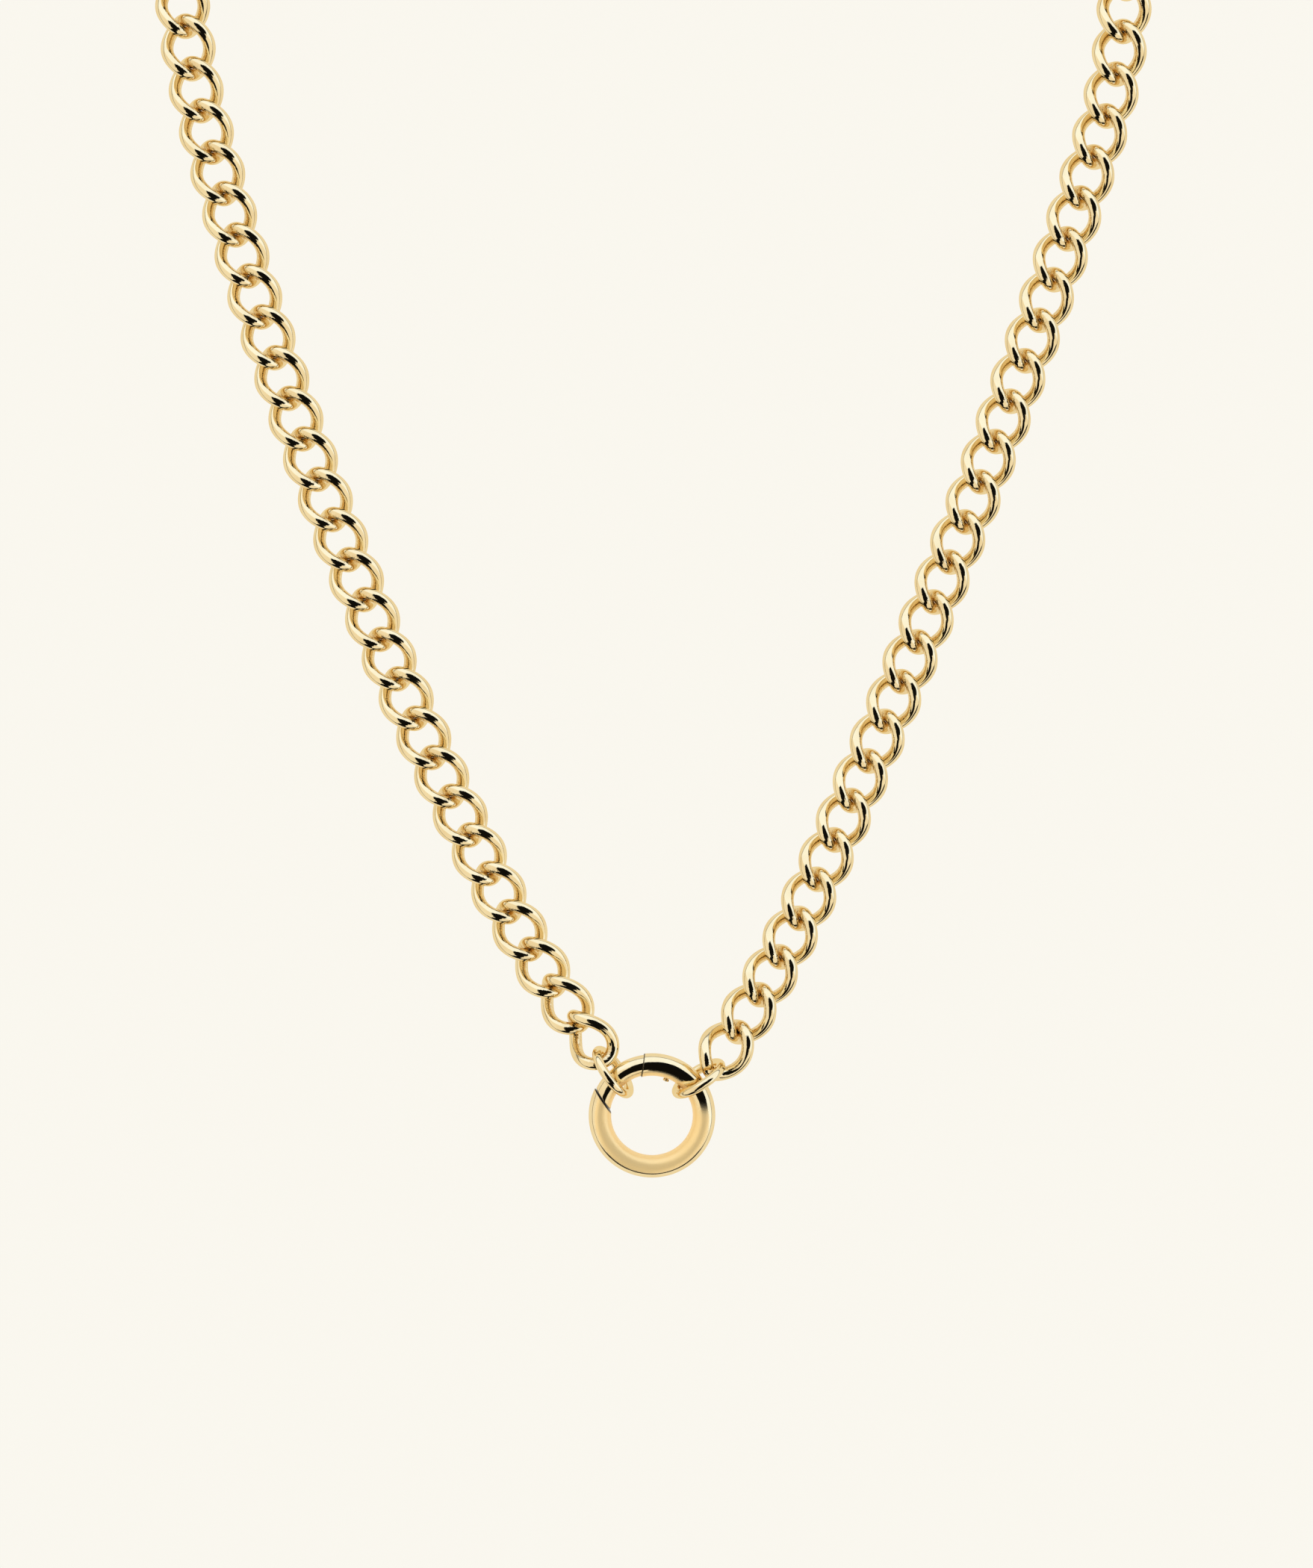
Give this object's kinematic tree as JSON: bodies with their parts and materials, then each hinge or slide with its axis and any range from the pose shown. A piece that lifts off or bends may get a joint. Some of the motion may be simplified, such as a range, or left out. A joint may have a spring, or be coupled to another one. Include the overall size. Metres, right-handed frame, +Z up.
{
  "type": "chain necklace",
  "caption": "Curb-link chain necklace in polished yellow gold, laid flat in a loop, with a round bolt-ring clasp worn at the front and jump rings.",
  "frame": {"origin": "on the table, under the middle of the necklace's own box as it lies in a closed loop", "axes": "+Z up from the table, +Y from the clasp to the back of the neck, +X to the wearer's left when worn with +Z outwards"},
  "size_m": [0.1106, 0.1914, 0.0065],
  "materials": {
    "link_gold": "polished",
    "jump_ring_gold": "polished",
    "clasp_gold": "polished",
    "spring_steel": "satin"
  },
  "bodies": {
    "clasp": {"clasp_tube": "clasp_gold", "clasp_spring": "spring_steel"},
    "bolt": {"clasp_bolt": "clasp_gold", "clasp_thumb_tab": "clasp_gold"},
    "jump_ring_left": {"jump_ring_left": "jump_ring_gold"},
    "link_left_01": {"link_left_01": "link_gold"},
    "link_left_02": {"link_left_02": "link_gold"},
    "link_left_03": {"link_left_03": "link_gold"},
    "link_left_04": {"link_left_04": "link_gold"},
    "link_left_05": {"link_left_05": "link_gold"},
    "link_left_06": {"link_left_06": "link_gold"},
    "link_left_07": {"link_left_07": "link_gold"},
    "link_left_08": {"link_left_08": "link_gold"},
    "link_left_09": {"link_left_09": "link_gold"},
    "link_left_10": {"link_left_10": "link_gold"},
    "link_left_11": {"link_left_11": "link_gold"},
    "link_left_12": {"link_left_12": "link_gold"},
    "link_left_13": {"link_left_13": "link_gold"},
    "link_left_14": {"link_left_14": "link_gold"},
    "link_left_15": {"link_left_15": "link_gold"},
    "link_left_16": {"link_left_16": "link_gold"},
    "link_left_17": {"link_left_17": "link_gold"},
    "link_left_18": {"link_left_18": "link_gold"},
    "link_left_19": {"link_left_19": "link_gold"},
    "link_left_20": {"link_left_20": "link_gold"},
    "link_left_21": {"link_left_21": "link_gold"},
    "link_left_22": {"link_left_22": "link_gold"},
    "link_left_23": {"link_left_23": "link_gold"},
    "link_left_24": {"link_left_24": "link_gold"},
    "links_left_25_to_31": {"links_left_25_to_31": "link_gold"},
    "links_left_32_to_38": {"links_left_32_to_38": "link_gold"},
    "links_left_39_to_45": {"links_left_39_to_45": "link_gold"},
    "jump_ring_right": {"jump_ring_right": "jump_ring_gold"},
    "link_right_01": {"link_right_01": "link_gold"},
    "link_right_02": {"link_right_02": "link_gold"},
    "link_right_03": {"link_right_03": "link_gold"},
    "link_right_04": {"link_right_04": "link_gold"},
    "link_right_05": {"link_right_05": "link_gold"},
    "link_right_06": {"link_right_06": "link_gold"},
    "link_right_07": {"link_right_07": "link_gold"},
    "link_right_08": {"link_right_08": "link_gold"},
    "link_right_09": {"link_right_09": "link_gold"},
    "link_right_10": {"link_right_10": "link_gold"},
    "link_right_11": {"link_right_11": "link_gold"},
    "link_right_12": {"link_right_12": "link_gold"},
    "link_right_13": {"link_right_13": "link_gold"},
    "link_right_14": {"link_right_14": "link_gold"},
    "link_right_15": {"link_right_15": "link_gold"},
    "link_right_16": {"link_right_16": "link_gold"},
    "link_right_17": {"link_right_17": "link_gold"},
    "link_right_18": {"link_right_18": "link_gold"},
    "link_right_19": {"link_right_19": "link_gold"},
    "link_right_20": {"link_right_20": "link_gold"},
    "link_right_21": {"link_right_21": "link_gold"},
    "link_right_22": {"link_right_22": "link_gold"},
    "link_right_23": {"link_right_23": "link_gold"},
    "link_right_24": {"link_right_24": "link_gold"},
    "links_right_25_to_31": {"links_right_25_to_31": "link_gold"},
    "links_right_32_to_38": {"links_right_32_to_38": "link_gold"},
    "links_right_39_to_45": {"links_right_39_to_45": "link_gold"}
  },
  "joints": [
    {"name": "clasp_bolt_slide", "type": "hinge", "parent": "clasp", "child": "bolt", "pos_m": [-0.00002, -0.08878, 0.00231], "axis": [0, 0.1736, -0.9848], "range_deg": [0, 15], "stiffness_Nm_per_rad": 0.008, "springref_deg": -11.46, "deforming": ["clasp_spring"]},
    {"name": "clasp_jump_left", "type": "hinge", "parent": "clasp", "child": "jump_ring_left", "pos_m": [-0.00387, -0.08458, 0.00305], "axis": [0.7423, 0.6599, 0.1164], "range_deg": [-20, 20]},
    {"name": "flex_left_01", "type": "hinge", "parent": "jump_ring_left", "child": "link_left_01", "pos_m": [-0.00539, -0.08238, 0.00328], "axis": [-0.8178, -0.5755, 0], "range_deg": [-20, 20]},
    {"name": "flex_left_02", "type": "hinge", "parent": "link_left_01", "child": "link_left_02", "pos_m": [-0.00829, -0.07834, 0.00246], "axis": [-0.8178, -0.5755, 0], "range_deg": [-9, 20]},
    {"name": "flex_left_03", "type": "hinge", "parent": "link_left_02", "child": "link_left_03", "pos_m": [-0.01095, -0.07441, 0.002], "axis": [0.8387, 0.5445, 0], "range_deg": [-20, 17]},
    {"name": "flex_left_04", "type": "hinge", "parent": "link_left_03", "child": "link_left_04", "pos_m": [-0.01346, -0.07038, 0.00179], "axis": [0.8585, 0.5129, 0], "range_deg": [-20, 20]},
    {"name": "flex_left_05", "type": "hinge", "parent": "link_left_04", "child": "link_left_05", "pos_m": [-0.01582, -0.06626, 0.00169], "axis": [-0.877, -0.4805, 0], "range_deg": [-20, 20]},
    {"name": "flex_left_06", "type": "hinge", "parent": "link_left_05", "child": "link_left_06", "pos_m": [-0.01804, -0.06206, 0.00165], "axis": [-0.8908, -0.4543, 0], "range_deg": [-20, 20]},
    {"name": "flex_left_07", "type": "hinge", "parent": "link_left_06", "child": "link_left_07", "pos_m": [-0.02017, -0.05781, 0.00163], "axis": [0.8968, 0.4425, 0], "range_deg": [-20, 20]},
    {"name": "flex_left_08", "type": "hinge", "parent": "link_left_07", "child": "link_left_08", "pos_m": [-0.02224, -0.05354, 0.00162], "axis": [0.9023, 0.431, 0], "range_deg": [-20, 20]},
    {"name": "flex_left_09", "type": "hinge", "parent": "link_left_08", "child": "link_left_09", "pos_m": [-0.02426, -0.04924, 0.00162], "axis": [-0.9077, -0.4195, 0], "range_deg": [-20, 20]},
    {"name": "flex_left_10", "type": "hinge", "parent": "link_left_09", "child": "link_left_10", "pos_m": [-0.02623, -0.04492, 0.00162], "axis": [-0.913, -0.4079, 0], "range_deg": [-20, 20]},
    {"name": "flex_left_11", "type": "hinge", "parent": "link_left_10", "child": "link_left_11", "pos_m": [-0.02814, -0.04057, 0.00162], "axis": [0.9181, 0.3963, 0], "range_deg": [-20, 20]},
    {"name": "flex_left_12", "type": "hinge", "parent": "link_left_11", "child": "link_left_12", "pos_m": [-0.02999, -0.03619, 0.00162], "axis": [0.923, 0.3849, 0], "range_deg": [-20, 20]},
    {"name": "flex_left_13", "type": "hinge", "parent": "link_left_12", "child": "link_left_13", "pos_m": [-0.0318, -0.0318, 0.00162], "axis": [-0.9269, -0.3753, 0], "range_deg": [-20, 20]},
    {"name": "flex_left_14", "type": "hinge", "parent": "link_left_13", "child": "link_left_14", "pos_m": [-0.03356, -0.02739, 0.00161], "axis": [-0.9306, -0.3661, 0], "range_deg": [-20, 20]},
    {"name": "flex_left_15", "type": "hinge", "parent": "link_left_14", "child": "link_left_15", "pos_m": [-0.03528, -0.02296, 0.00161], "axis": [0.9342, 0.3568, 0], "range_deg": [-20, 20]},
    {"name": "flex_left_16", "type": "hinge", "parent": "link_left_15", "child": "link_left_16", "pos_m": [-0.03695, -0.01852, 0.00161], "axis": [0.9377, 0.3475, 0], "range_deg": [-20, 20]},
    {"name": "flex_left_17", "type": "hinge", "parent": "link_left_16", "child": "link_left_17", "pos_m": [-0.03858, -0.01405, 0.00161], "axis": [-0.9411, -0.3382, 0], "range_deg": [-20, 20]},
    {"name": "flex_left_18", "type": "hinge", "parent": "link_left_17", "child": "link_left_18", "pos_m": [-0.04016, -0.00958, 0.00161], "axis": [-0.9444, -0.3288, 0], "range_deg": [-20, 20]},
    {"name": "flex_left_19", "type": "hinge", "parent": "link_left_18", "child": "link_left_19", "pos_m": [-0.0417, -0.00508, 0.00161], "axis": [0.9476, 0.3194, 0], "range_deg": [-20, 20]},
    {"name": "flex_left_20", "type": "hinge", "parent": "link_left_19", "child": "link_left_20", "pos_m": [-0.04319, -0.00057, 0.00161], "axis": [0.9511, 0.309, 0], "range_deg": [-20, 20]},
    {"name": "flex_left_21", "type": "hinge", "parent": "link_left_20", "child": "link_left_21", "pos_m": [-0.04464, 0.00395, 0.00161], "axis": [-0.9546, -0.2979, 0], "range_deg": [-20, 20]},
    {"name": "flex_left_22", "type": "hinge", "parent": "link_left_21", "child": "link_left_22", "pos_m": [-0.04603, 0.0085, 0.00161], "axis": [-0.958, -0.2868, 0], "range_deg": [-20, 20]},
    {"name": "flex_left_23", "type": "hinge", "parent": "link_left_22", "child": "link_left_23", "pos_m": [-0.04736, 0.01305, 0.00161], "axis": [0.9612, 0.2757, 0], "range_deg": [-20, 20]},
    {"name": "flex_left_24", "type": "hinge", "parent": "link_left_23", "child": "link_left_24", "pos_m": [-0.04864, 0.01763, 0.00161], "axis": [0.9644, 0.2645, 0], "range_deg": [-20, 20]},
    {"name": "flex_left_25", "type": "hinge", "parent": "link_left_24", "child": "links_left_25_to_31", "pos_m": [-0.04984, 0.02222, 0.00161], "axis": [-0.9713, -0.2381, 0], "range_deg": [-20, 20]},
    {"name": "flex_left_32", "type": "hinge", "parent": "links_left_25_to_31", "child": "links_left_32_to_38", "pos_m": [-0.05053, 0.0551, 0.00161], "axis": [-0.9659, 0.2589, 0], "range_deg": [-20, 20]},
    {"name": "flex_left_39", "type": "hinge", "parent": "links_left_32_to_38", "child": "links_left_39_to_45", "pos_m": [-0.0324, 0.08223, 0.00161], "axis": [0.6087, -0.7934, 0], "range_deg": [-20, 20]},
    {"name": "clasp_jump_right", "type": "hinge", "parent": "clasp", "child": "jump_ring_right", "pos_m": [0.00438, -0.08514, 0.00296], "axis": [-0.6431, 0.7542, 0.133], "range_deg": [-20, 20]},
    {"name": "flex_right_01", "type": "hinge", "parent": "jump_ring_right", "child": "link_right_01", "pos_m": [0.00665, -0.08365, 0.00328], "axis": [0.8446, -0.5354, 0], "range_deg": [-20, 20]},
    {"name": "flex_right_02", "type": "hinge", "parent": "link_right_01", "child": "link_right_02", "pos_m": [0.00935, -0.07948, 0.00246], "axis": [0.8446, -0.5354, 0], "range_deg": [-20, 14]},
    {"name": "flex_right_03", "type": "hinge", "parent": "link_right_02", "child": "link_right_03", "pos_m": [0.01181, -0.07542, 0.002], "axis": [-0.865, 0.5017, 0], "range_deg": [-20, 20]},
    {"name": "flex_right_04", "type": "hinge", "parent": "link_right_03", "child": "link_right_04", "pos_m": [0.01411, -0.07126, 0.00179], "axis": [-0.8841, 0.4673, 0], "range_deg": [-20, 20]},
    {"name": "flex_right_05", "type": "hinge", "parent": "link_right_04", "child": "link_right_05", "pos_m": [0.01625, -0.06702, 0.00169], "axis": [0.9018, -0.4321, 0], "range_deg": [-20, 20]},
    {"name": "flex_right_06", "type": "hinge", "parent": "link_right_05", "child": "link_right_06", "pos_m": [0.01824, -0.06271, 0.00165], "axis": [0.9139, -0.406, 0], "range_deg": [-20, 20]},
    {"name": "flex_right_07", "type": "hinge", "parent": "link_right_06", "child": "link_right_07", "pos_m": [0.02015, -0.05836, 0.00163], "axis": [-0.9164, 0.4002, 0], "range_deg": [-20, 20]},
    {"name": "flex_right_08", "type": "hinge", "parent": "link_right_07", "child": "link_right_08", "pos_m": [0.02204, -0.05401, 0.00162], "axis": [-0.9186, 0.3951, 0], "range_deg": [-20, 20]},
    {"name": "flex_right_09", "type": "hinge", "parent": "link_right_08", "child": "link_right_09", "pos_m": [0.02391, -0.04964, 0.00162], "axis": [0.9208, -0.3901, 0], "range_deg": [-20, 20]},
    {"name": "flex_right_10", "type": "hinge", "parent": "link_right_09", "child": "link_right_10", "pos_m": [0.02575, -0.04526, 0.00162], "axis": [0.9229, -0.385, 0], "range_deg": [-20, 20]},
    {"name": "flex_right_11", "type": "hinge", "parent": "link_right_10", "child": "link_right_11", "pos_m": [0.02757, -0.04087, 0.00162], "axis": [-0.925, 0.3799, 0], "range_deg": [-20, 20]},
    {"name": "flex_right_12", "type": "hinge", "parent": "link_right_11", "child": "link_right_12", "pos_m": [0.02936, -0.03647, 0.00162], "axis": [-0.9271, 0.3747, 0], "range_deg": [-20, 20]},
    {"name": "flex_right_13", "type": "hinge", "parent": "link_right_12", "child": "link_right_13", "pos_m": [0.03112, -0.03206, 0.00162], "axis": [0.9293, -0.3693, 0], "range_deg": [-20, 20]},
    {"name": "flex_right_14", "type": "hinge", "parent": "link_right_13", "child": "link_right_14", "pos_m": [0.03287, -0.02764, 0.00161], "axis": [0.9315, -0.3637, 0], "range_deg": [-20, 20]},
    {"name": "flex_right_15", "type": "hinge", "parent": "link_right_14", "child": "link_right_15", "pos_m": [0.03458, -0.02321, 0.00161], "axis": [-0.9336, 0.3582, 0], "range_deg": [-20, 20]},
    {"name": "flex_right_16", "type": "hinge", "parent": "link_right_15", "child": "link_right_16", "pos_m": [0.03627, -0.01877, 0.00161], "axis": [-0.9357, 0.3527, 0], "range_deg": [-20, 20]},
    {"name": "flex_right_17", "type": "hinge", "parent": "link_right_16", "child": "link_right_17", "pos_m": [0.03793, -0.01432, 0.00161], "axis": [0.9378, -0.3471, 0], "range_deg": [-20, 20]},
    {"name": "flex_right_18", "type": "hinge", "parent": "link_right_17", "child": "link_right_18", "pos_m": [0.03957, -0.00986, 0.00161], "axis": [0.9399, -0.3416, 0], "range_deg": [-20, 20]},
    {"name": "flex_right_19", "type": "hinge", "parent": "link_right_18", "child": "link_right_19", "pos_m": [0.04118, -0.00539, 0.00161], "axis": [-0.9419, 0.336, 0], "range_deg": [-20, 20]},
    {"name": "flex_right_20", "type": "hinge", "parent": "link_right_19", "child": "link_right_20", "pos_m": [0.04276, -0.00092, 0.00161], "axis": [-0.9443, 0.3291, 0], "range_deg": [-20, 20]},
    {"name": "flex_right_21", "type": "hinge", "parent": "link_right_20", "child": "link_right_21", "pos_m": [0.0443, 0.00358, 0.00161], "axis": [0.947, -0.3212, 0], "range_deg": [-20, 20]},
    {"name": "flex_right_22", "type": "hinge", "parent": "link_right_21", "child": "link_right_22", "pos_m": [0.04581, 0.00808, 0.00161], "axis": [0.9496, -0.3134, 0], "range_deg": [-20, 20]},
    {"name": "flex_right_23", "type": "hinge", "parent": "link_right_22", "child": "link_right_23", "pos_m": [0.04728, 0.0126, 0.00161], "axis": [-0.9522, 0.3055, 0], "range_deg": [-20, 20]},
    {"name": "flex_right_24", "type": "hinge", "parent": "link_right_23", "child": "link_right_24", "pos_m": [0.04871, 0.01713, 0.00161], "axis": [-0.9547, 0.2976, 0], "range_deg": [-20, 20]},
    {"name": "flex_right_25", "type": "hinge", "parent": "link_right_24", "child": "links_right_25_to_31", "pos_m": [0.05005, 0.02168, 0.00161], "axis": [0.964, -0.2659, 0], "range_deg": [-20, 20]},
    {"name": "flex_right_32", "type": "hinge", "parent": "links_right_25_to_31", "child": "links_right_32_to_38", "pos_m": [0.04993, 0.0545, 0.00161], "axis": [0.9619, 0.2736, 0], "range_deg": [-20, 20]},
    {"name": "flex_right_39", "type": "hinge", "parent": "links_right_32_to_38", "child": "links_right_39_to_45", "pos_m": [0.03222, 0.08196, 0.00161], "axis": [-0.623, -0.7822, 0], "range_deg": [-20, 20]}
  ]
}
